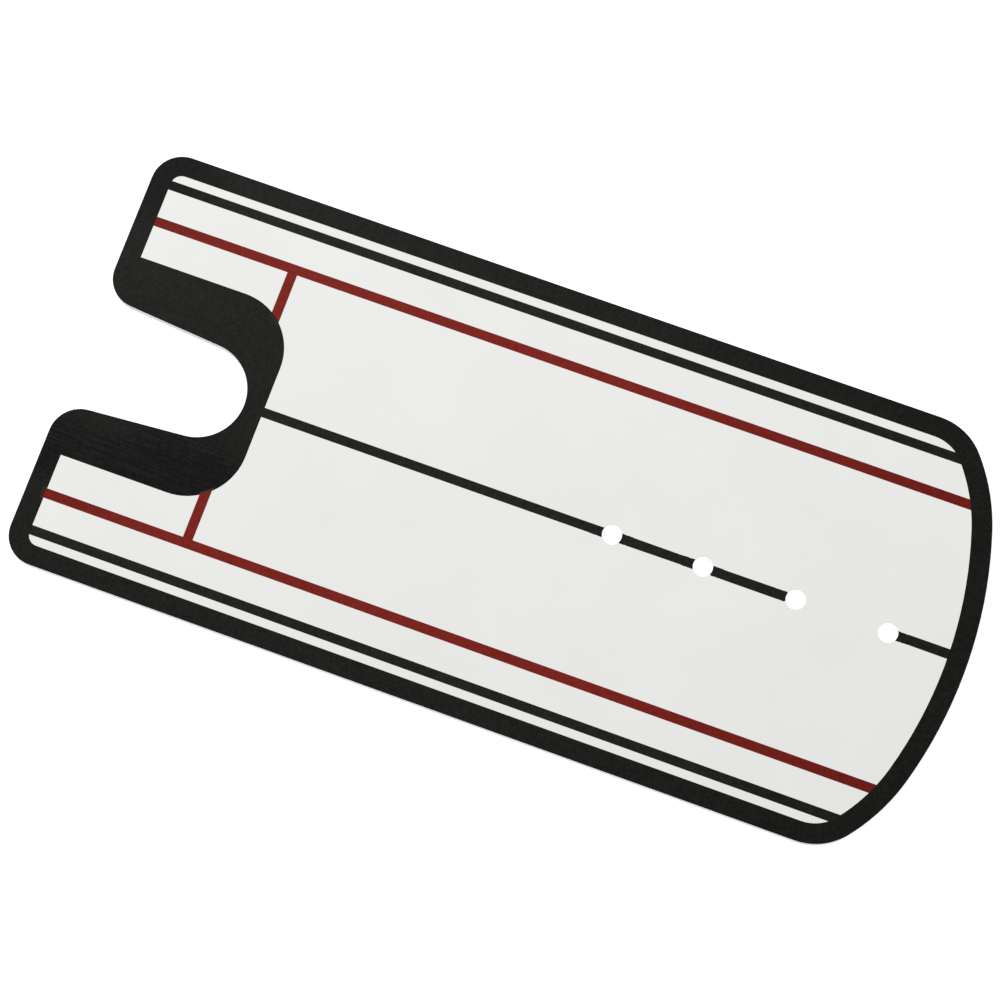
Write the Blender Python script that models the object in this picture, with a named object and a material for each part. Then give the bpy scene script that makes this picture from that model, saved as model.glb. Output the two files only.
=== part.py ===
"""A putting alignment mirror: a flat mirror plate with a ball notch, four tee holes and printed lines.

Metres, +Z up. The plate lies on the plane z = 0 with its printed face up. The origin is the middle of
its underside. X runs along the plate, from the two prongs beside the notch (-X) to the bowed end (+X),
and left means +Y. The plate is a stack of flat plies, each one an outline with a thickness.
"""

import math

import bpy

# Overall size
LENGTH = 0.3048
WIDTH = 0.14605

# Plies, from the ground up
BACKING_THICKNESS = 0.0002
SHEET_THICKNESS = 0.0027
MIRROR_THICKNESS = 0.0001
INK_THICKNESS = 0.00005
PLY_GAP = 0.00005  # between a ply and the next one, so that no two of them touch
PRINT_GAP = 0.00005  # between two lines of one print that meet end to side

# Outline: each half of the bowed end is three arcs, each one tangent to the next
BOW_RADIUS = 0.1524
BOW_HALF_ANGLE = math.radians(16.3)
SHOULDER_RADIUS = 0.0657
CORNER_RADIUS = 0.0199
PRONG_CORNER_RADIUS = 0.0104

# Ball notch, open at the prongs' end
NOTCH_DEPTH = 0.05685
NOTCH_RADIUS = 0.0161
NOTCH_FLARE = math.radians(4.6)

# Tee holes, in a row on the centre line
HOLE_COUNT = 4
HOLE_RADIUS = 0.00325
HOLE_PITCH = 0.0312
LAST_HOLE_FROM_BOW = 0.0272

# Print
BORDER_WIDTH = 0.00666
LINE_WIDTH = 0.0032
SIGHT_LINE_GAP = 0.00279  # from the border to the sight line
RED_LINE_GAP = 0.00987  # from the sight line to the red line
CROSSBAR_FROM_NOTCH = 0.0012  # from the bottom of the notch back to the crossbars' middle
PAD_HALF_WIDTH = 0.03556
PAD_CORNER_RADIUS = 0.0198
TUCK = 0.0018  # how far a line runs on under the print that covers its end
LINE_END_GAP = 0.0001  # from a line's end to the tee hole there
LINE_END_RADIUS = 0.0006

ARC_ERROR = 0.00002  # how far a chord may stand off its arc

# Where those sizes put things
HALF_WIDTH = WIDTH / 2
PRONG_X = -LENGTH / 2
BOW_X = LENGTH / 2
NOTCH_X = PRONG_X + NOTCH_DEPTH
PAD_X = NOTCH_X + BORDER_WIDTH
LAST_HOLE_X = BOW_X - LAST_HOLE_FROM_BOW
HOLES_X = [LAST_HOLE_X - HOLE_PITCH * i for i in reversed(range(HOLE_COUNT))]
SIGHT_LINE_Y = HALF_WIDTH - BORDER_WIDTH - SIGHT_LINE_GAP - LINE_WIDTH / 2
RED_LINE_Y = SIGHT_LINE_Y - LINE_WIDTH - RED_LINE_GAP
CROSSBAR_X = NOTCH_X - CROSSBAR_FROM_NOTCH

# The underside of each ply
BACKING_Z = 0.0
SHEET_Z = BACKING_Z + BACKING_THICKNESS + PLY_GAP
MIRROR_Z = SHEET_Z + SHEET_THICKNESS + PLY_GAP
LINES_Z = MIRROR_Z + MIRROR_THICKNESS + PLY_GAP
PAD_Z = LINES_Z + INK_THICKNESS + PLY_GAP
BORDER_Z = PAD_Z + INK_THICKNESS + PLY_GAP


def arc(centre, radius, start, end):
    """Points along an arc, both ends included. Angles are in radians from +X."""
    step = 2 * math.acos(1 - ARC_ERROR / radius)
    steps = max(2, math.ceil(abs(end - start) / step))
    angles = [start + (end - start) * i / steps for i in range(steps + 1)]
    return [(centre[0] + radius * math.cos(a), centre[1] + radius * math.sin(a)) for a in angles]


def mirrored(half):
    """A closed outline from its left half, which begins and ends on the centre line."""
    return half + [(x, -y) for x, y in reversed(half[1:-1])]


def notch_edge(inset):
    """The notch's left side, from its bottom out to the prong's end, set into the plate by inset."""
    sine, cosine = math.sin(NOTCH_FLARE), math.cos(NOTCH_FLARE)
    middle = NOTCH_X - NOTCH_RADIUS
    mouth_x = PRONG_X + PRONG_CORNER_RADIUS
    flank = (middle + (NOTCH_RADIUS + PRONG_CORNER_RADIUS) * sine - mouth_x) / cosine
    mouth_y = (NOTCH_RADIUS + PRONG_CORNER_RADIUS) * cosine + flank * sine
    bottom = arc((middle, 0), NOTCH_RADIUS + inset, 0, math.pi / 2 - NOTCH_FLARE)
    mouth = arc((mouth_x, mouth_y), PRONG_CORNER_RADIUS - inset, 1.5 * math.pi - NOTCH_FLARE, math.pi)
    return bottom + mouth


def bowed_edge(inset):
    """The bowed end's left half, from the side round to the centre line, set in by inset."""
    bow_middle = BOW_X - BOW_RADIUS
    to_shoulder = BOW_RADIUS - SHOULDER_RADIUS
    shoulder_x = bow_middle + to_shoulder * math.cos(BOW_HALF_ANGLE)
    shoulder_y = to_shoulder * math.sin(BOW_HALF_ANGLE)
    to_corner = SHOULDER_RADIUS - CORNER_RADIUS
    corner_y = HALF_WIDTH - CORNER_RADIUS
    turn = math.asin((corner_y - shoulder_y) / to_corner)
    corner_x = shoulder_x + to_corner * math.cos(turn)
    corner = arc((corner_x, corner_y), CORNER_RADIUS - inset, math.pi / 2, turn)
    shoulder = arc((shoulder_x, shoulder_y), SHOULDER_RADIUS - inset, turn, BOW_HALF_ANGLE)
    bow = arc((bow_middle, 0), BOW_RADIUS - inset, BOW_HALF_ANGLE, 0)
    return corner + shoulder[1:] + bow[1:]


def plate_outline(inset=0.0):
    """The plate's whole outline, set in by inset all round."""
    prong_x = PRONG_X + PRONG_CORNER_RADIUS
    prong_y = HALF_WIDTH - PRONG_CORNER_RADIUS
    prong_corner = arc((prong_x, prong_y), PRONG_CORNER_RADIUS - inset, math.pi, math.pi / 2)
    return mirrored(notch_edge(inset) + prong_corner + bowed_edge(inset))


def tee_holes():
    return [arc((x, 0), HOLE_RADIUS, 0, 2 * math.pi)[:-1] for x in HOLES_X]


def pad_outline():
    """The print round the notch. Its inner edge lies under the border."""
    inner = notch_edge(BORDER_WIDTH - TUCK)
    prong_end = [(PRONG_X + BORDER_WIDTH - TUCK, PAD_HALF_WIDTH)]
    corner_middle = (PAD_X - PAD_CORNER_RADIUS, PAD_HALF_WIDTH - PAD_CORNER_RADIUS)
    corner = arc(corner_middle, PAD_CORNER_RADIUS, math.pi / 2, 0)
    return mirrored(inner + prong_end + corner + [(PAD_X, 0)])


def pad_edge_y(x):
    """How far from the centre line the pad reaches at x."""
    along = max(0.0, x - (PAD_X - PAD_CORNER_RADIUS))
    drop = PAD_CORNER_RADIUS - math.sqrt(max(0.0, PAD_CORNER_RADIUS**2 - along**2))
    return PAD_HALF_WIDTH - drop


def bowed_edge_x(y, inset):
    """Where the bowed end, set in by inset, crosses the distance y from the centre line."""
    edge = bowed_edge(inset)
    for (x0, y0), (x1, y1) in zip(edge, edge[1:]):
        if y1 <= y <= y0:
            return x0 + (x1 - x0) * (y0 - y) / (y0 - y1)
    return edge[0][0]


def strip(x0, x1, y0, y1, radius=0.0):
    """A rectangle, with rounded corners if it has a radius."""
    if not radius:
        return [(x0, y0), (x1, y0), (x1, y1), (x0, y1)]
    corners = [(x1 - radius, y1 - radius), (x0 + radius, y1 - radius)]
    corners += [(x0 + radius, y0 + radius), (x1 - radius, y0 + radius)]
    quarters = [arc(c, radius, i * math.pi / 2, (i + 1) * math.pi / 2) for i, c in enumerate(corners)]
    return [point for quarter in quarters for point in quarter]


def new_material(name, colour, roughness, metallic=0.0):
    material = bpy.data.materials.new(name)
    material.use_nodes = True
    shader = material.node_tree.nodes["Principled BSDF"]
    shader.inputs["Base Color"].default_value = (*colour, 1.0)
    shader.inputs["Roughness"].default_value = roughness
    shader.inputs["Metallic"].default_value = metallic
    material.diffuse_color = (*colour, 1.0)
    return material


def make_ply(collection, name, outlines, underside, thickness, material):
    """A flat ply: the first outline is its edge, and the others are holes in it."""
    curve = bpy.data.curves.new(name, "CURVE")
    curve.dimensions = "2D"
    curve.fill_mode = "BOTH"
    curve.extrude = thickness / 2
    curve.materials.append(material)
    for outline in outlines:
        spline = curve.splines.new("POLY")
        spline.points.add(len(outline) - 1)
        for point, (x, y) in zip(spline.points, outline):
            point.co = (x, y, 0, 1)
        spline.use_cyclic_u = True
    piece = bpy.data.objects.new(name, curve)
    piece.location.z = underside + thickness / 2
    collection.objects.link(piece)


def make_plate(collection):
    """The plies that the whole plate is made of."""
    outlines = [plate_outline()] + tee_holes()
    backing_grey = new_material("backing_grey", (0.19, 0.20, 0.21), 0.55)
    acrylic = new_material("acrylic", (0.62, 0.66, 0.66), 0.15)
    silver = new_material("mirror_silver", (0.82, 0.82, 0.81), 0.04, metallic=1.0)
    make_ply(collection, "backing_coat", outlines, BACKING_Z, BACKING_THICKNESS, backing_grey)
    make_ply(collection, "acrylic_sheet", outlines, SHEET_Z, SHEET_THICKNESS, acrylic)
    make_ply(collection, "mirror_film", outlines, MIRROR_Z, MIRROR_THICKNESS, silver)


def make_side_lines(collection, black, red):
    """The sight line, red line and red crossbar of each side."""
    start = PRONG_X + BORDER_WIDTH - TUCK
    crossbar_x0 = CROSSBAR_X - LINE_WIDTH / 2
    crossbar_x1 = CROSSBAR_X + LINE_WIDTH / 2
    crossbar_y0 = pad_edge_y(crossbar_x1) - TUCK
    crossbar_y1 = RED_LINE_Y - LINE_WIDTH / 2 - PRINT_GAP
    for side, sign in (("left", 1), ("right", -1)):
        for name, y, ink in (("sight_line", SIGHT_LINE_Y, black), ("red_line", RED_LINE_Y, red)):
            near = y - LINE_WIDTH / 2
            far = y + LINE_WIDTH / 2
            end = bowed_edge_x(near, BORDER_WIDTH) + TUCK
            outline = strip(start, end, sign * near, sign * far)
            make_ply(collection, f"{name}_{side}", [outline], LINES_Z, INK_THICKNESS, ink)
        crossbar = strip(crossbar_x0, crossbar_x1, sign * crossbar_y0, sign * crossbar_y1)
        make_ply(collection, f"red_crossbar_{side}", [crossbar], LINES_Z, INK_THICKNESS, red)


def make_centre_line(collection, black):
    """The centre line, from the notch to the third tee hole, and again from the last one to the border."""
    clear = HOLE_RADIUS + LINE_END_GAP
    half = LINE_WIDTH / 2
    front = strip(PAD_X - TUCK, HOLES_X[0] - clear, -half, half)
    make_ply(collection, "centre_line_front", [front], LINES_Z, INK_THICKNESS, black)
    for i, (hole, next_hole) in enumerate(zip(HOLES_X[:-2], HOLES_X[1:-1]), start=1):
        gate = strip(hole + clear, next_hole - clear, -half, half, LINE_END_RADIUS)
        make_ply(collection, f"centre_line_gate_{i}", [gate], LINES_Z, INK_THICKNESS, black)
    end_x = BOW_X - BORDER_WIDTH + TUCK
    end = strip(HOLES_X[-1] + clear, end_x, -half, half, LINE_END_RADIUS)
    make_ply(collection, "centre_line_end", [end], LINES_Z, INK_THICKNESS, black)


def make_print(collection):
    """The inks on the mirror: the lines first, then the pad and the border over their ends."""
    black = new_material("ink_black", (0.018, 0.018, 0.017), 0.35)
    red = new_material("ink_red", (0.17, 0.016, 0.015), 0.35)
    make_side_lines(collection, black, red)
    make_centre_line(collection, black)
    make_ply(collection, "notch_pad", [pad_outline()], PAD_Z, INK_THICKNESS, black)
    border = [plate_outline(), plate_outline(BORDER_WIDTH)]
    make_ply(collection, "border_print", border, BORDER_Z, INK_THICKNESS, black)


def main():
    for old in list(bpy.data.objects):
        bpy.data.objects.remove(old)
    collection = bpy.data.collections.new("putting_alignment_mirror")
    bpy.context.scene.collection.children.link(collection)
    make_plate(collection)
    make_print(collection)


main()
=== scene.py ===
import functools
import math
import random

import bpy
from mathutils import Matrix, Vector


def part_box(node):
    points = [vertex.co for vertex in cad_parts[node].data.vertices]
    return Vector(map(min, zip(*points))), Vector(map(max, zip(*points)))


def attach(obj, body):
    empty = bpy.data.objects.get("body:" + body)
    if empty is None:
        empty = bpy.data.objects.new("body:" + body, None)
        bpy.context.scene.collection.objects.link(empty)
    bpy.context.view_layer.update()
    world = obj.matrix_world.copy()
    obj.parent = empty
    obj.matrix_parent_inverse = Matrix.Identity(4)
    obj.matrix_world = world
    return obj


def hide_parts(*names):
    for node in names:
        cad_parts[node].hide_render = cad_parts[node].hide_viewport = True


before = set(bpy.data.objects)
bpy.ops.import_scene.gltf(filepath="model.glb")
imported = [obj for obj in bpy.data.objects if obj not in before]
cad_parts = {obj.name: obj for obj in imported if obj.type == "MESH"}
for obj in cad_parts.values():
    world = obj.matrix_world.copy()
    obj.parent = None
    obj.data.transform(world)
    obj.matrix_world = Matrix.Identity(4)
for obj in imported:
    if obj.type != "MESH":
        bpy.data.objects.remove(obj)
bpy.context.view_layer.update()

# Levels of the finished plate, in metres above the ground
COAT_TOP = 0.0002
SHEET_TOP = 0.0032
FILM_TOP = 0.0033

# Thickness of each print on the film
CROSSBAR_INK = 0.000028
LINE_INK = 0.00003
PAD_INK = 0.00006
BORDER_INK = 0.00008
OVERLAP_INK = 0.0001

# Places on the plate, as in the CAD nodes
BORDER_WIDTH = 0.00666
PRONG_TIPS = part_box("acrylic_sheet")[0][0]
BORDER_EDGE = PRONG_TIPS + BORDER_WIDTH
HOLE_RADIUS = 0.00325
HOLES_X = (0.0316, 0.0628, 0.0940, 0.1252)
PAD_CORNER_RADIUS = 0.0198

# The tee holes that each length of the centre line meets, and the side of the hole that it is on
CENTRE_LENGTHS = {"front": ((0, -1),), "gate_1": ((0, 1), (1, -1)), "gate_2": ((1, 1), (2, -1)),
                  "end": ((3, 1),)}

# How far each hole is set off its place in the CAD, along and across
HOLE_SLIPS = ((0.0001, 0.0002), (-0.0001, 0.0002), (0.0002, 0.0002), (0.0002, 0.0))

# How far each print is set off its place in the CAD: across, and for the crossbars also along
BLACK_PASS = -0.0001
RED_PASS = -0.00028
CENTRE_PASS = {"front": -0.00008, "gate_1": -0.00004, "gate_2": -0.00004, "end": -0.00004}
CROSSBAR_SLIP = {"left": 0.00014, "right": 0.00003}

# How much wider than in the CAD each line is, on each of its sides
RED_BLEED = 0.000045
CROSSBAR_BLEED = 0.000095
CENTRE_BLEED = {"front": 0.000045, "gate_1": 0.0001, "gate_2": 0.0001, "end": 0.000065}

# The centre line at a tee hole: its end runs on to the hole, and its sides are ragged for a stretch
END_REACH = 0.00055
END_CLEAR = 0.00003
FRAY_FROM = 0.0009
FRAY_TO = 0.0042
FRAY_PITCH = 0.0004
FRAY_DEPTH = 0.00014

# Overprint: how far red and black cover each other, the raised steps in the black, and the painted
# highlights along them
RED_OVER_BLACK = 0.00045
RED_CLEAR = 0.00005
CROSSBAR_REACH = 0.0004
PAD_SET_BACK = 0.0003
STEP_FROM_EDGE = 0.00125
STEP_WIDTH = 0.00022
LEFT_STEP = 0.0007
RIGHT_STEP = 0.00035
RIDGE_LENGTH = 0.001
RIDGE_SLOPE = 0.00025
RIDGE_HEIGHT = 0.00001

# Width of the broken rims, and the distance within which two places count as one
COAT_RIM = 0.00008
FILM_RIM = 0.00004
SAME_PLACE = 0.0001

# Zones where the black print is dense: a middle, and the reach along and across
LEFT_PRONG_TIP = (-0.149, 0.067), (0.026, 0.026)
PAD_STREAKS = (-0.106, -0.027), (0.027, 0.015)
RIGHT_PRONG_STREAKS = (-0.142, -0.034), (0.036, 0.014)
SMUDGE = (-0.11035, -0.06786), (0.0018, 0.0006)

# Far under the 0.5 of a real ink: it keeps the print dark under the white surround
INK_SPECULAR = 0.055

# Where along the plate the black is darkened as painted shade, from and to, and how light its thin ink is
FIELD_BLACK = {"painted_shade_from": 0.02, "painted_shade_at": 0.13, "lightness": 1.0}
LINE_BLACK = {"painted_shade_from": 0.05, "painted_shade_at": 0.17, "lightness": 1.22}

# Tones of each finish, darkest and lightest
THIN_BLACK = (0.0050, 0.0052, 0.0043), (0.0120, 0.0121, 0.0106)
# The next tone is the dense ink's, and also serves as painted shade towards the bowed end
DENSE_AND_SHADED_BLACK = (0.0012, 0.0012, 0.0012), (0.0058, 0.0058, 0.0056)
# The next tone is a painted highlight: the glint off the steps where black covers red
STEP_HIGHLIGHT_GREY = (0.034, 0.034, 0.031)
LIGHT_RED = (0.132, 0.0085, 0.0055), (0.176, 0.0150, 0.0105)
# The next tone is the deep ink's, and also serves as painted shade towards the bowed end
DEEP_AND_SHADED_RED = (0.094, 0.0050, 0.0034), (0.134, 0.0092, 0.0066)
SILVER = (0.93, 0.929, 0.908), (0.96, 0.959, 0.938)
CUT_EDGE = (0.53, 0.58, 0.58), (0.66, 0.71, 0.71)
FROSTED = (0.93, 0.95, 0.95), (0.98, 0.99, 0.99)
BACKING_GREY = (0.15, 0.16, 0.17), (0.20, 0.21, 0.22)
FLOOR_PAPER = (0.24, 0.24, 0.24), (0.27, 0.27, 0.27)
WHITE = (1.0, 1.0, 1.0, 1.0)

# A faint painted glow in the drilled holes, an emission standing in for light led along inside the acrylic,
# and its zone
HOLE_GLOW = 0.1
HOLE_MARGIN = 0.008

# Camera: place in metres, turn in degrees, lens in millimetres
CAMERA_PLACE = (0.09053, -0.20404, 1.01304)
CAMERA_TURN = (12.4839, 1.1985, 20.1092)
LENS = 115.21

# Studio
FLOOR_SIZE = 6.0
FLOOR_LEVEL = -0.00005
FLOOR_GLOW = 0.88
SKY_LEVEL = 0.787
SKY_LEAN = (-0.235, 0.31, 0.0)
SOFTBOX_PLACE = (-0.50, 0.60, 0.70)
SOFTBOX_SIZE = 0.45
SOFTBOX_POWER = 7.5


# ---------------------------------------------------------------- hand tools

def deselect_all():
    bpy.ops.object.select_all(action="DESELECT")


def take(piece):
    """Make this piece the only one selected, and the active one."""
    deselect_all()
    piece.select_set(True)
    bpy.context.view_layer.objects.active = piece


def copy_of(node, name):
    """A copy of a CAD node with its loose triangles joined up and its flats made whole."""
    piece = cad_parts[node].copy()
    piece.data = piece.data.copy()
    piece.name = piece.data.name = name
    piece.hide_render = piece.hide_viewport = False
    bpy.context.scene.collection.objects.link(piece)
    piece.data.materials.clear()
    take(piece)
    bpy.ops.object.mode_set(mode="EDIT")
    bpy.ops.mesh.select_all(action="SELECT")
    bpy.ops.mesh.remove_doubles(threshold=0.000002)
    bpy.ops.mesh.dissolve_limited(angle_limit=math.radians(0.5))
    bpy.ops.object.mode_set(mode="OBJECT")
    return piece


def set_levels(piece, underside, top):
    """Lay a flat ply between two levels."""
    heights = [vertex.co.z for vertex in piece.data.vertices]
    middle = (min(heights) + max(heights)) / 2
    for vertex in piece.data.vertices:
        vertex.co.z = top if vertex.co.z > middle else underside


def pick_rims(piece, level, reach=0.00001):
    """Select the sharp edges that lie at one level."""
    take(piece)
    bpy.ops.object.mode_set(mode="EDIT")
    bpy.ops.mesh.select_mode(type="EDGE")
    bpy.ops.mesh.select_all(action="DESELECT")
    bpy.ops.mesh.edges_select_sharp(sharpness=math.radians(40))
    bpy.ops.object.mode_set(mode="OBJECT")
    points = piece.data.vertices
    for edge in piece.data.edges:
        a, b = (points[i].co.z for i in edge.vertices)
        edge.select = edge.select and abs(a - level) < reach and abs(b - level) < reach
    bpy.ops.object.mode_set(mode="EDIT")


def break_rims(piece, level, width):
    """Bevel the sharp rims at one level."""
    pick_rims(piece, level)
    bpy.ops.mesh.bevel(offset=width, segments=1, affect="EDGES", clamp_overlap=True)
    bpy.ops.object.mode_set(mode="OBJECT")


def bisect_across(piece, places):
    """Cut a piece into bays along X, still joined, at each of these places."""
    take(piece)
    bpy.ops.object.mode_set(mode="EDIT")
    for x in places:
        bpy.ops.mesh.select_all(action="SELECT")
        bpy.ops.mesh.bisect(plane_co=(x, 0, 0), plane_no=(1, 0, 0))
    bpy.ops.object.mode_set(mode="OBJECT")


def widen(piece, along, by):
    """Make a printed bar this much wider on both sides, along X (0) or Y (1)."""
    places = [vertex.co[along] for vertex in piece.data.vertices]
    middle = (min(places) + max(places)) / 2
    share = 1 + by / (max(places) - middle)
    for vertex in piece.data.vertices:
        vertex.co[along] = middle + (vertex.co[along] - middle) * share


def slide(piece, along, distance, low=-math.inf, high=math.inf):
    """Move a piece, or only the part of it between low and high, along X (0) or Y (1)."""
    for vertex in piece.data.vertices:
        if low <= vertex.co[along] <= high:
            vertex.co[along] += distance


def add_block(low, high, slope=0.0):
    """A block between two corners, with its top drawn in on all sides by the slope."""
    bpy.ops.mesh.primitive_cube_add(size=1.0, location=(0, 0, 0))
    block = bpy.context.object
    for vertex in block.data.vertices:
        inset = slope if vertex.co.z > 0 else 0.0
        insets = (inset, inset, 0.0)
        vertex.co = [high[i] - insets[i] if vertex.co[i] > 0 else low[i] + insets[i] for i in range(3)]
    return block


def add_drill(x, y, radius, facets):
    """A round cutter that stands through the print at a place."""
    bpy.ops.mesh.primitive_cylinder_add(vertices=facets, radius=radius, depth=0.004,
                                        location=(x, y, FILM_TOP))
    return bpy.context.object


def combine(piece, tool, operation):
    """Cut a tool shape out of a piece, or weld it on, and throw the tool away."""
    take(piece)
    modifier = piece.modifiers.new("tool", "BOOLEAN")
    modifier.operation = operation
    modifier.solver = "EXACT"
    modifier.object = tool
    bpy.ops.object.modifier_apply(modifier=modifier.name)
    bpy.data.objects.remove(tool)


def fit(piece, material, node):
    """Finish a piece: its material and the CAD node that it stands for."""
    piece.data.materials.append(material)
    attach(piece, "root")
    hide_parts(node)


# ---------------------------------------------------------------- finishes

class Finish:
    """A material under way: its nodes are added one after another."""

    def __init__(self, name, roughness, metallic=0.0, specular=0.5):
        self.material = bpy.data.materials.new(name)
        self.material.use_nodes = True
        self.nodes = self.material.node_tree.nodes
        self.links = self.material.node_tree.links
        self.shader = self.nodes["Principled BSDF"]
        self.shader.inputs["Roughness"].default_value = roughness
        self.shader.inputs["Metallic"].default_value = metallic
        self.shader.inputs["Specular IOR Level"].default_value = specular
        self.place = self.nodes.new("ShaderNodeTexCoord").outputs["Object"]

    def mapped(self, location=(0, 0, 0), scale=(1, 1, 1)):
        """Object coordinates, scaled and then moved."""
        mapping = self.nodes.new("ShaderNodeMapping")
        mapping.inputs["Location"].default_value = location
        mapping.inputs["Scale"].default_value = scale
        self.links.new(self.place, mapping.inputs["Vector"])
        return mapping.outputs["Vector"]

    def noise(self, x, y, z, detail=3.0, roughness=0.5):
        """A noise pattern with its fineness along each axis."""
        texture = self.nodes.new("ShaderNodeTexNoise")
        texture.inputs["Scale"].default_value = 1.0
        texture.inputs["Detail"].default_value = detail
        texture.inputs["Roughness"].default_value = roughness
        self.links.new(self.mapped(scale=(x, y, z)), texture.inputs["Vector"])
        return texture.outputs["Fac"]

    def spread(self, value, low, high, to_low=0.0, to_high=1.0):
        """Stretch a range of a pattern onto another range."""
        remap = self.nodes.new("ShaderNodeMapRange")
        ranges = {"From Min": low, "From Max": high, "To Min": to_low, "To Max": to_high}
        for socket, number in ranges.items():
            remap.inputs[socket].default_value = number
        self.links.new(value, remap.inputs["Value"])
        return remap.outputs["Result"]

    def scaled(self, mask, most):
        """A mask from 0 to 1, weakened to this much at most."""
        return self.spread(mask, 0.0, 1.0, 0.0, most)

    def tones(self, pattern, darkest, lightest):
        """Colours that follow a noise pattern."""
        ramp = self.nodes.new("ShaderNodeValToRGB")
        for element, colour in zip(ramp.color_ramp.elements, (darkest, lightest)):
            element.color = (*colour, 1.0)
        self.links.new(self.spread(pattern, 0.3, 0.7), ramp.inputs["Fac"])
        return ramp.outputs["Color"]

    def mix(self, share, first, second):
        """The first colour where the share is 0, the second where it is 1."""
        mixer = self.nodes.new("ShaderNodeMix")
        mixer.data_type = "RGBA"
        self.links.new(share, mixer.inputs["Factor"])
        self.links.new(first, mixer.inputs["A"])
        self.links.new(second, mixer.inputs["B"])
        return mixer.outputs["Result"]

    def reckon(self, operation, first, second):
        """Two patterns added or multiplied, kept within 0 and 1."""
        maths = self.nodes.new("ShaderNodeMath")
        maths.operation = operation
        maths.use_clamp = True
        self.links.new(first, maths.inputs[0])
        self.links.new(second, maths.inputs[1])
        return maths.outputs["Value"]

    def add(self, *patterns):
        return functools.reduce(functools.partial(self.reckon, "ADD"), patterns)

    def multiply(self, first, second):
        return self.reckon("MULTIPLY", first, second)

    def axis(self, name):
        """How far along one axis."""
        parts = self.nodes.new("ShaderNodeSeparateXYZ")
        self.links.new(self.place, parts.inputs["Vector"])
        return parts.outputs[name]

    def distance(self, x, y, reach_x=1.0, reach_y=1.0):
        """How far across the plate from a place, in reaches."""
        moved = self.mapped((-x / reach_x, -y / reach_y, 0), (1 / reach_x, 1 / reach_y, 0))
        length = self.nodes.new("ShaderNodeVectorMath")
        length.operation = "LENGTH"
        self.links.new(moved, length.inputs[0])
        return length.outputs["Value"]

    def near(self, middle, reach):
        """1 in the middle of a zone, falling to 0 at its reach."""
        return self.spread(self.distance(*middle, *reach), 0.35, 1.0, 1.0, 0.0)

    def window(self, value, low, high, soft=0.0001):
        """1 between low and high, falling to 0 over a soft edge."""
        rise = self.spread(value, low - soft, low, 0.0, 1.0)
        fall = self.spread(value, high, high + soft, 1.0, 0.0)
        return self.multiply(rise, fall)

    def ring(self, x, y, radius, width):
        """1 along the inner side of a circle about a place."""
        return self.window(self.distance(x, y), radius - width, radius)

    def box(self, low, high, soft=0.0001):
        """1 inside a box on the plate, falling to 0 over a soft edge."""
        return self.multiply(self.window(self.axis("X"), low[0], high[0], soft),
                             self.window(self.axis("Y"), low[1], high[1], soft))

    def plain(self, colour):
        """One colour, to be mixed into a pattern."""
        tone = self.nodes.new("ShaderNodeRGB")
        tone.outputs["Color"].default_value = (*colour, 1.0)
        return tone.outputs["Color"]

    def colour(self, value):
        self.links.new(value, self.shader.inputs["Base Color"])

    def gloss(self, pattern, least, most):
        """Roughness that follows a noise pattern."""
        self.links.new(self.spread(pattern, 0.3, 0.7, least, most), self.shader.inputs["Roughness"])

    def relief(self, value, height, strength):
        bump = self.nodes.new("ShaderNodeBump")
        bump.inputs["Strength"].default_value = strength
        bump.inputs["Distance"].default_value = height
        self.links.new(value, bump.inputs["Height"])
        self.links.new(bump.outputs["Normal"], self.shader.inputs["Normal"])


def red_line_step_highlight(finish):
    """A painted highlight along the outline of the right red line's end, under the border's ink."""
    low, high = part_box("red_line_right")
    start, y0, y1 = BORDER_EDGE - STEP_FROM_EDGE, low[1] + RED_PASS, high[1] + RED_PASS
    marks = [finish.box((start, y0), (start + STEP_WIDTH, y1))]
    for y in (y0 - STEP_WIDTH, y1):
        marks.append(finish.box((start, y), (BORDER_EDGE, y + STEP_WIDTH)))
    return finish.add(*marks)


def crossbar_step_highlight(finish, side, back, width):
    """A painted highlight along the outline of a red crossbar's end, under the pad's ink."""
    sign = 1 if side == "left" else -1
    low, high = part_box("red_crossbar_" + side)
    x, y = pad_corner(sign)
    ring = finish.ring(x, y, PAD_CORNER_RADIUS - back, width)
    y0, y1 = sorted((y, y + sign * PAD_CORNER_RADIUS))
    return finish.multiply(ring, finish.box((low[0], y0), (high[0] + STEP_WIDTH, y1)))


def painted_step_highlights(finish):
    """All the painted highlights on the steps in the black, slightly broken."""
    step_highlights = finish.add(finish.scaled(crossbar_step_highlight(finish, "left", LEFT_STEP, STEP_WIDTH), 0.55),
                       crossbar_step_highlight(finish, "right", RIGHT_STEP, 2 * STEP_WIDTH),
                       finish.scaled(red_line_step_highlight(finish), 0.7))
    return finish.multiply(step_highlights, finish.spread(finish.noise(700, 700, 700), 0.35, 0.6, 0.45, 1.0))


def black_density_and_shade(finish, cloud, painted_shade_from, painted_shade_at):
    """Where the black is dense: in clouds and streaks, and at the left prong's tip; towards the bowed end
    it is darkened as painted shade.
    """
    streaks = finish.noise(55, 1500, 40, detail=3.0, roughness=0.65)
    streaked = finish.add(finish.near(*PAD_STREAKS), finish.scaled(finish.near(*RIGHT_PRONG_STREAKS), 0.8))
    # The first term darkens the black towards the bowed end: painted shade of the light falling off across
    # the plate
    return finish.add(finish.spread(finish.axis("X"), painted_shade_from, painted_shade_at, 0.0, 0.46),
                      finish.near(*LEFT_PRONG_TIP),
                      finish.spread(cloud, 0.35, 0.65, -0.12, 0.16),
                      finish.multiply(streaked, finish.spread(streaks, 0.40, 0.60, 0.2, 2.2)),
                      finish.near(*SMUDGE))


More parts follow.
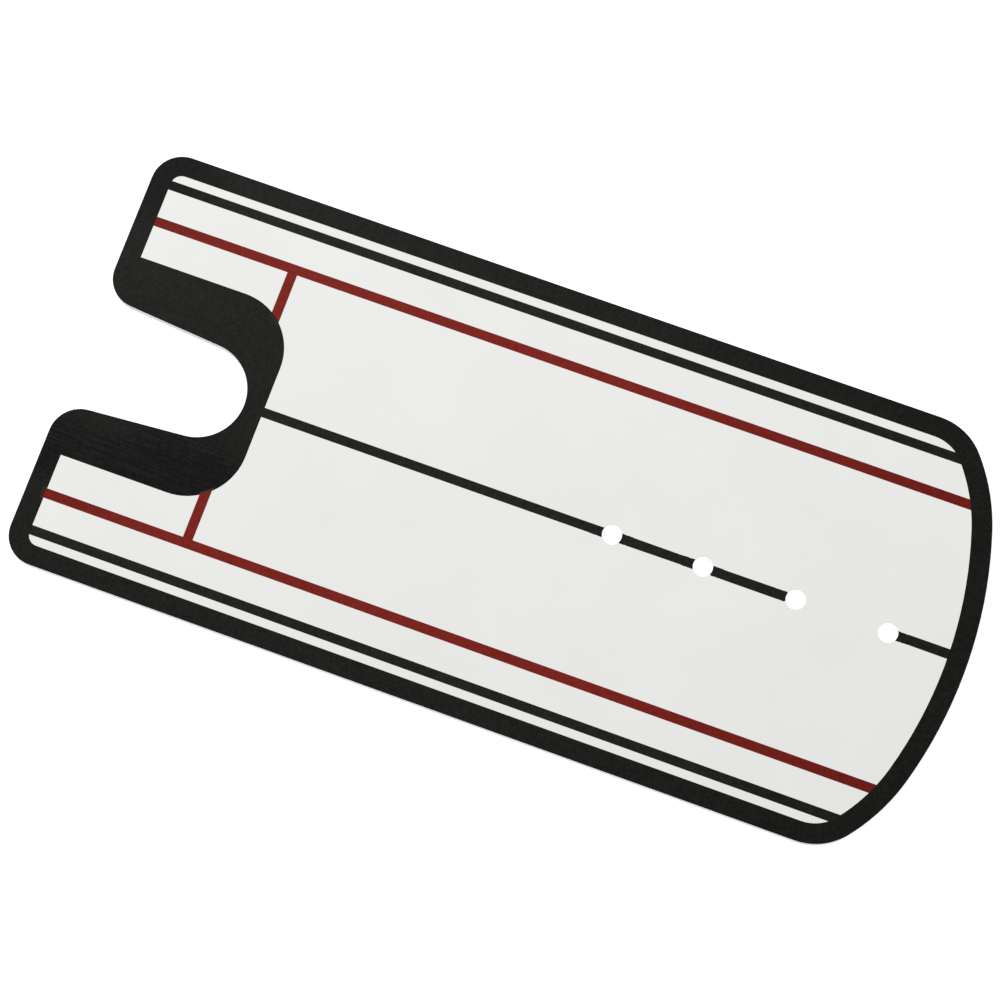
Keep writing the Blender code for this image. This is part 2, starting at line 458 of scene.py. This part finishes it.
def black_ink(name, painted_shade_from, painted_shade_at, lightness):
    """Screen-printed black: mottled, streaked by the squeegee on one prong, and darkened towards the bowed
    end as painted shade.
    """
    finish = Finish(name, 0.42, specular=INK_SPECULAR)
    grain = finish.noise(1000, 1000, 1000, detail=3.0, roughness=0.6)
    cloud = finish.noise(50, 70, 70, detail=4.0, roughness=0.6)
    thin = finish.tones(grain, *([lightness * part for part in tone] for tone in THIN_BLACK))
    dense_and_shaded = finish.tones(grain, *DENSE_AND_SHADED_BLACK)
    ink = finish.mix(black_density_and_shade(finish, cloud, painted_shade_from, painted_shade_at), thin, dense_and_shaded)
    # The steps are painted a lighter grey: a painted highlight standing in for the glint off the raised
    # overprint
    finish.colour(finish.mix(painted_step_highlights(finish), ink, finish.plain(STEP_HIGHLIGHT_GREY)))
    finish.gloss(cloud, 0.38, 0.48)
    finish.relief(grain, 0.000003, 0.5)
    return finish.material


def red_ink():
    """Screen-printed dark red with fine mottling, denser towards the prong end, and darkened towards the
    bowed end as painted shade.
    """
    finish = Finish("red_ink", 0.42, specular=INK_SPECULAR)
    grain = finish.noise(1100, 1100, 1100, detail=3.0, roughness=0.6)
    cloud = finish.noise(60, 160, 60, detail=4.0, roughness=0.6)
    # The second term darkens the red towards the bowed end: painted shade of the light falling off across
    # the plate
    density_and_shade = finish.add(finish.spread(finish.axis("X"), -0.145, -0.105, 0.55, 0.0),
                         finish.spread(finish.axis("X"), 0.03, 0.135, 0.0, 0.8),
                         finish.spread(cloud, 0.35, 0.65, -0.1, 0.25))
    finish.colour(finish.mix(density_and_shade, finish.tones(grain, *LIGHT_RED), finish.tones(grain, *DEEP_AND_SHADED_RED)))
    finish.gloss(cloud, 0.38, 0.48)
    finish.relief(grain, 0.000003, 0.5)
    return finish.material


def mirror_silver():
    """Silvered film: very slightly wavy, with a trace of haze."""
    finish = Finish("mirror_silver", 0.03, metallic=1.0)
    haze = finish.noise(22, 22, 22, detail=4.0, roughness=0.6)
    finish.colour(finish.tones(haze, *SILVER))
    finish.gloss(haze, 0.02, 0.05)
    finish.relief(finish.noise(9, 9, 9, detail=1.0), 0.00002, 0.5)
    return finish.material


def cut_acrylic():
    """Pale green-grey acrylic with upright cutting marks, frosted white in the drilled holes, which also
    give off a faint painted glow.
    """
    finish = Finish("cut_acrylic", 0.18, specular=0.3)
    marks = finish.noise(2600, 2600, 60, detail=3.0)
    drilled = finish.box((HOLES_X[0] - HOLE_MARGIN, -HOLE_MARGIN), (HOLES_X[-1] + HOLE_MARGIN, HOLE_MARGIN),
                         soft=0.001)
    finish.colour(finish.mix(drilled, finish.tones(marks, *CUT_EDGE), finish.tones(marks, *FROSTED)))
    finish.gloss(marks, 0.12, 0.3)
    # The drilled zone gives off a faint painted glow
    finish.shader.inputs["Emission Color"].default_value = WHITE
    finish.links.new(finish.scaled(drilled, HOLE_GLOW), finish.shader.inputs["Emission Strength"])
    finish.relief(marks, 0.00001, 0.5)
    return finish.material


def grey_coat():
    """Sprayed backing paint with a fine orange-peel skin."""
    finish = Finish("grey_coat", 0.5, specular=0.4)
    cloud = finish.noise(30, 30, 30, detail=5.0, roughness=0.6)
    peel = finish.noise(900, 900, 900, detail=2.0)
    finish.colour(finish.tones(cloud, *BACKING_GREY))
    finish.gloss(peel, 0.42, 0.6)
    finish.relief(peel, 0.00002, 0.6)
    return finish.material


# ---------------------------------------------------------------- the plate

def place_holes(piece):
    """Move each hole's wall by its slip."""
    for vertex in piece.data.vertices:
        for hole_x, slip in zip(HOLES_X, HOLE_SLIPS):
            if math.hypot(vertex.co.x - hole_x, vertex.co.y) < HOLE_RADIUS * 1.2:
                vertex.co.x += slip[0]
                vertex.co.y += slip[1]


def make_plate():
    """The backing coat, the acrylic sheet and the mirror film, closed up on each other."""
    coat = copy_of("backing_coat", "grey_backing_coat")
    set_levels(coat, 0.0, COAT_TOP)
    break_rims(coat, 0.0, COAT_RIM)
    sheet = copy_of("acrylic_sheet", "cut_acrylic_sheet")
    set_levels(sheet, COAT_TOP, SHEET_TOP)
    film = copy_of("mirror_film", "silver_mirror_film")
    set_levels(film, SHEET_TOP, FILM_TOP)
    break_rims(film, FILM_TOP, FILM_RIM)
    for piece in (coat, sheet, film):
        place_holes(piece)
    take(sheet)
    bpy.ops.object.shade_smooth_by_angle(angle=math.radians(35))
    fit(coat, grey_coat(), "backing_coat")
    fit(sheet, cut_acrylic(), "acrylic_sheet")
    fit(film, mirror_silver(), "mirror_film")


# ---------------------------------------------------------------- the print

def flat_place(vertex):
    return round(vertex.co.x, 5), round(vertex.co.y, 5)


@functools.cache
def plate_edge():
    """The places on the plate's cut edge."""
    return {flat_place(vertex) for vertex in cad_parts["acrylic_sheet"].data.vertices}


def lay_ink(node, thickness, off_true):
    """A print on the film, set off its CAD place except where it ends on the plate's cut edge."""
    piece = copy_of(node, node + "_ink")
    set_levels(piece, FILM_TOP, FILM_TOP + thickness)
    for vertex in piece.data.vertices:
        if flat_place(vertex) not in plate_edge():
            vertex.co.y += off_true
    return piece


def dry(piece, thickness, material, node):
    """Break the ink's edge a little and finish it."""
    break_rims(piece, FILM_TOP + thickness, thickness * 0.5)
    fit(piece, material, node)


def fray(piece, x0, x1, seed):
    """Leave a printed line's two edges slightly ragged between two places."""
    chance = random.Random(seed)
    bays = int(abs(x1 - x0) / FRAY_PITCH)
    places = [x0 + (x1 - x0) * (i + chance.random() * 0.6) / bays for i in range(bays)]
    bisect_across(piece, places)
    half = max(vertex.co.y for vertex in piece.data.vertices)
    low, high = sorted((x0, x1))
    nicks = {}
    for vertex in piece.data.vertices:
        x, y, z = vertex.co
        if low - SAME_PLACE < x < high + SAME_PLACE and abs(y) > half * 0.95:
            place = (round(x, 5), y > 0)
            nicks.setdefault(place, FRAY_DEPTH * chance.random() ** 2)
            vertex.co.y -= math.copysign(nicks[place], y)


def lay_centre_line(black):
    """The centre line's lengths, each one drilled through with the tee holes that it meets."""
    for part, ends in CENTRE_LENGTHS.items():
        node = "centre_line_" + part
        piece = lay_ink(node, LINE_INK, CENTRE_PASS[part])
        widen(piece, 1, CENTRE_BLEED[part])
        for order, (hole, side) in enumerate(ends):
            hole_x = HOLES_X[hole]
            edge = hole_x + side * HOLE_RADIUS
            low, high = sorted((hole_x, edge + side * FRAY_FROM))
            slide(piece, 0, -side * END_REACH, low, high)
            fray(piece, edge + side * FRAY_FROM, edge + side * FRAY_TO, seed=hole * 7 + order * 3 + 1)
        for hole, side in ends:
            slip_x, slip_y = HOLE_SLIPS[hole]
            drill = add_drill(HOLES_X[hole] + slip_x, slip_y, HOLE_RADIUS + END_CLEAR, facets=96)
            combine(piece, drill, "DIFFERENCE")
        dry(piece, LINE_INK, black, node)


def raise_end(piece, x0, x1):
    """Let a line's ink ride up over the border's between two places."""
    bisect_across(piece, (x0, x1))
    bpy.ops.object.mode_set(mode="EDIT")
    bpy.ops.mesh.select_mode(type="FACE")
    bpy.ops.mesh.select_all(action="DESELECT")
    bpy.ops.object.mode_set(mode="OBJECT")
    for face in piece.data.polygons:
        face.select = face.normal.z > 0.9 and x0 < face.center.x < x1
    bpy.ops.object.mode_set(mode="EDIT")
    bpy.ops.mesh.extrude_region_move(TRANSFORM_OT_translate={"value": (0, 0, OVERLAP_INK - LINE_INK)})
    bpy.ops.object.mode_set(mode="OBJECT")


def lay_side_lines(black, red, side):
    """The black sight line and the red line of one side. The right red line ends on top of the border."""
    sight = lay_ink("sight_line_" + side, LINE_INK, BLACK_PASS)
    dry(sight, LINE_INK, black, "sight_line_" + side)
    line = lay_ink("red_line_" + side, LINE_INK, RED_PASS)
    widen(line, 1, RED_BLEED)
    if side == "right":
        raise_end(line, BORDER_EDGE - RED_OVER_BLACK, BORDER_EDGE + RED_CLEAR)
    dry(line, LINE_INK, red, "red_line_" + side)


def lay_crossbar(red, side, sign):
    """A red crossbar, with its outer end drawn out to its red line."""
    crossbar = lay_ink("red_crossbar_" + side, CROSSBAR_INK, RED_PASS)
    widen(crossbar, 0, CROSSBAR_BLEED)
    slide(crossbar, 0, CROSSBAR_SLIP[side])
    outer = sign * max(abs(vertex.co.y) for vertex in crossbar.data.vertices)
    slide(crossbar, 1, sign * CROSSBAR_REACH, outer - SAME_PLACE, outer + SAME_PLACE)
    dry(crossbar, CROSSBAR_INK, red, "red_crossbar_" + side)


def pad_corner(sign):
    """The middle of the pad's round corner on one side, as printed."""
    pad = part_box("notch_pad")[1]
    return pad[0] - PAD_CORNER_RADIUS, sign * (pad[1] - PAD_CORNER_RADIUS) + BLACK_PASS


def set_back_pad(pad):
    """Let the right crossbar's red show over the pad's edge by a hair."""
    low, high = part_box("red_crossbar_right")
    x, y = pad_corner(-1)
    block = add_block((low[0] - CROSSBAR_BLEED, y - 0.03, FILM_TOP - 0.001),
                      (high[0] + CROSSBAR_BLEED, y, FILM_TOP + 0.001))
    combine(block, add_drill(x, y, PAD_CORNER_RADIUS - PAD_SET_BACK, facets=256), "DIFFERENCE")
    combine(pad, block, "DIFFERENCE")


def add_ridge(piece, low, high, top):
    """A faint raised patch in a black print, where it covers the end of a red line."""
    patch = add_block((*low, top - RIDGE_HEIGHT), (*high, top + RIDGE_HEIGHT), RIDGE_SLOPE)
    combine(piece, patch, "UNION")


def lay_pad(black):
    """The black pad round the notch, raised where it covers the crossbars' ends."""
    pad = lay_ink("notch_pad", PAD_INK, BLACK_PASS)
    set_back_pad(pad)
    dry(pad, PAD_INK, black, "notch_pad")
    for side, sign in (("left", 1), ("right", -1)):
        low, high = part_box("red_crossbar_" + side)
        tip = (low if side == "left" else high)[1] + RED_PASS
        y0, y1 = sorted((tip + 0.4 * sign * RIDGE_LENGTH, tip + 1.4 * sign * RIDGE_LENGTH))
        add_ridge(pad, (low[0], y0), (high[0], y1), FILM_TOP + PAD_INK)


def lay_border(black):
    """The black border, raised where it covers the right red line's end."""
    border = lay_ink("border_print", BORDER_INK, BLACK_PASS)
    dry(border, BORDER_INK, black, "border_print")
    low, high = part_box("red_line_right")
    start = BORDER_EDGE - STEP_FROM_EDGE
    add_ridge(border, (start, low[1] + RED_PASS), (start + RIDGE_LENGTH, high[1] + RED_PASS),
              FILM_TOP + BORDER_INK)


def make_print():
    """Every print on the film: the fields in one black, the lines in a slightly lighter one."""
    field_black = black_ink("black_field_ink", **FIELD_BLACK)
    line_black = black_ink("black_line_ink", **LINE_BLACK)
    red = red_ink()
    for side, sign in (("left", 1), ("right", -1)):
        lay_side_lines(line_black, red, side)
        lay_crossbar(red, side, sign)
    lay_centre_line(line_black)
    lay_pad(field_black)
    lay_border(field_black)


# ---------------------------------------------------------------- studio

def make_camera():
    data = bpy.data.cameras.new("camera")
    data.lens = LENS
    data.sensor_width = 36.0
    camera = bpy.data.objects.new("camera", data)
    camera.location = CAMERA_PLACE
    camera.rotation_euler = [math.radians(angle) for angle in CAMERA_TURN]
    bpy.context.scene.collection.objects.link(camera)
    bpy.context.scene.camera = camera


def make_floor():
    """A grey paper floor whose own glow makes most of its brightness, so that it reads as even white."""
    deselect_all()
    bpy.ops.mesh.primitive_plane_add(size=FLOOR_SIZE, location=(0, 0, FLOOR_LEVEL))
    floor = bpy.context.object
    floor.name = "floor"
    bpy.ops.object.transform_apply(location=True)
    finish = Finish("floor_paper", 0.8, specular=0.1)
    finish.colour(finish.tones(finish.noise(300, 300, 300, detail=3.0), *FLOOR_PAPER))
    finish.shader.inputs["Emission Color"].default_value = WHITE
    finish.shader.inputs["Emission Strength"].default_value = FLOOR_GLOW
    floor.data.materials.append(finish.material)


def make_softbox():
    """One soft round light beside the plate, aimed at its middle."""
    data = bpy.data.lights.new("left_softbox", "AREA")
    data.shape = "DISK"
    data.size = SOFTBOX_SIZE
    data.energy = SOFTBOX_POWER
    softbox = bpy.data.objects.new("left_softbox", data)
    softbox.location = SOFTBOX_PLACE
    softbox.rotation_euler = (-Vector(SOFTBOX_PLACE)).to_track_quat("-Z", "Y").to_euler()
    bpy.context.scene.collection.objects.link(softbox)


def make_sky():
    """A soft white surround, a little brighter towards one side."""
    world = bpy.data.worlds.new("surround")
    bpy.context.scene.world = world
    world.use_nodes = True
    nodes, links = world.node_tree.nodes, world.node_tree.links
    background = nodes["Background"]
    background.inputs["Color"].default_value = WHITE
    lean = nodes.new("ShaderNodeVectorMath")
    lean.operation = "DOT_PRODUCT"
    lean.inputs[1].default_value = SKY_LEAN
    links.new(nodes.new("ShaderNodeTexCoord").outputs["Generated"], lean.inputs[0])
    level = nodes.new("ShaderNodeMath")
    level.operation = "ADD"
    level.inputs[1].default_value = SKY_LEVEL
    links.new(lean.outputs["Value"], level.inputs[0])
    links.new(level.outputs["Value"], background.inputs["Strength"])


make_camera()
make_floor()
make_sky()
make_softbox()
bpy.context.scene.view_settings.view_transform = "Standard"
make_plate()
make_print()
deselect_all()
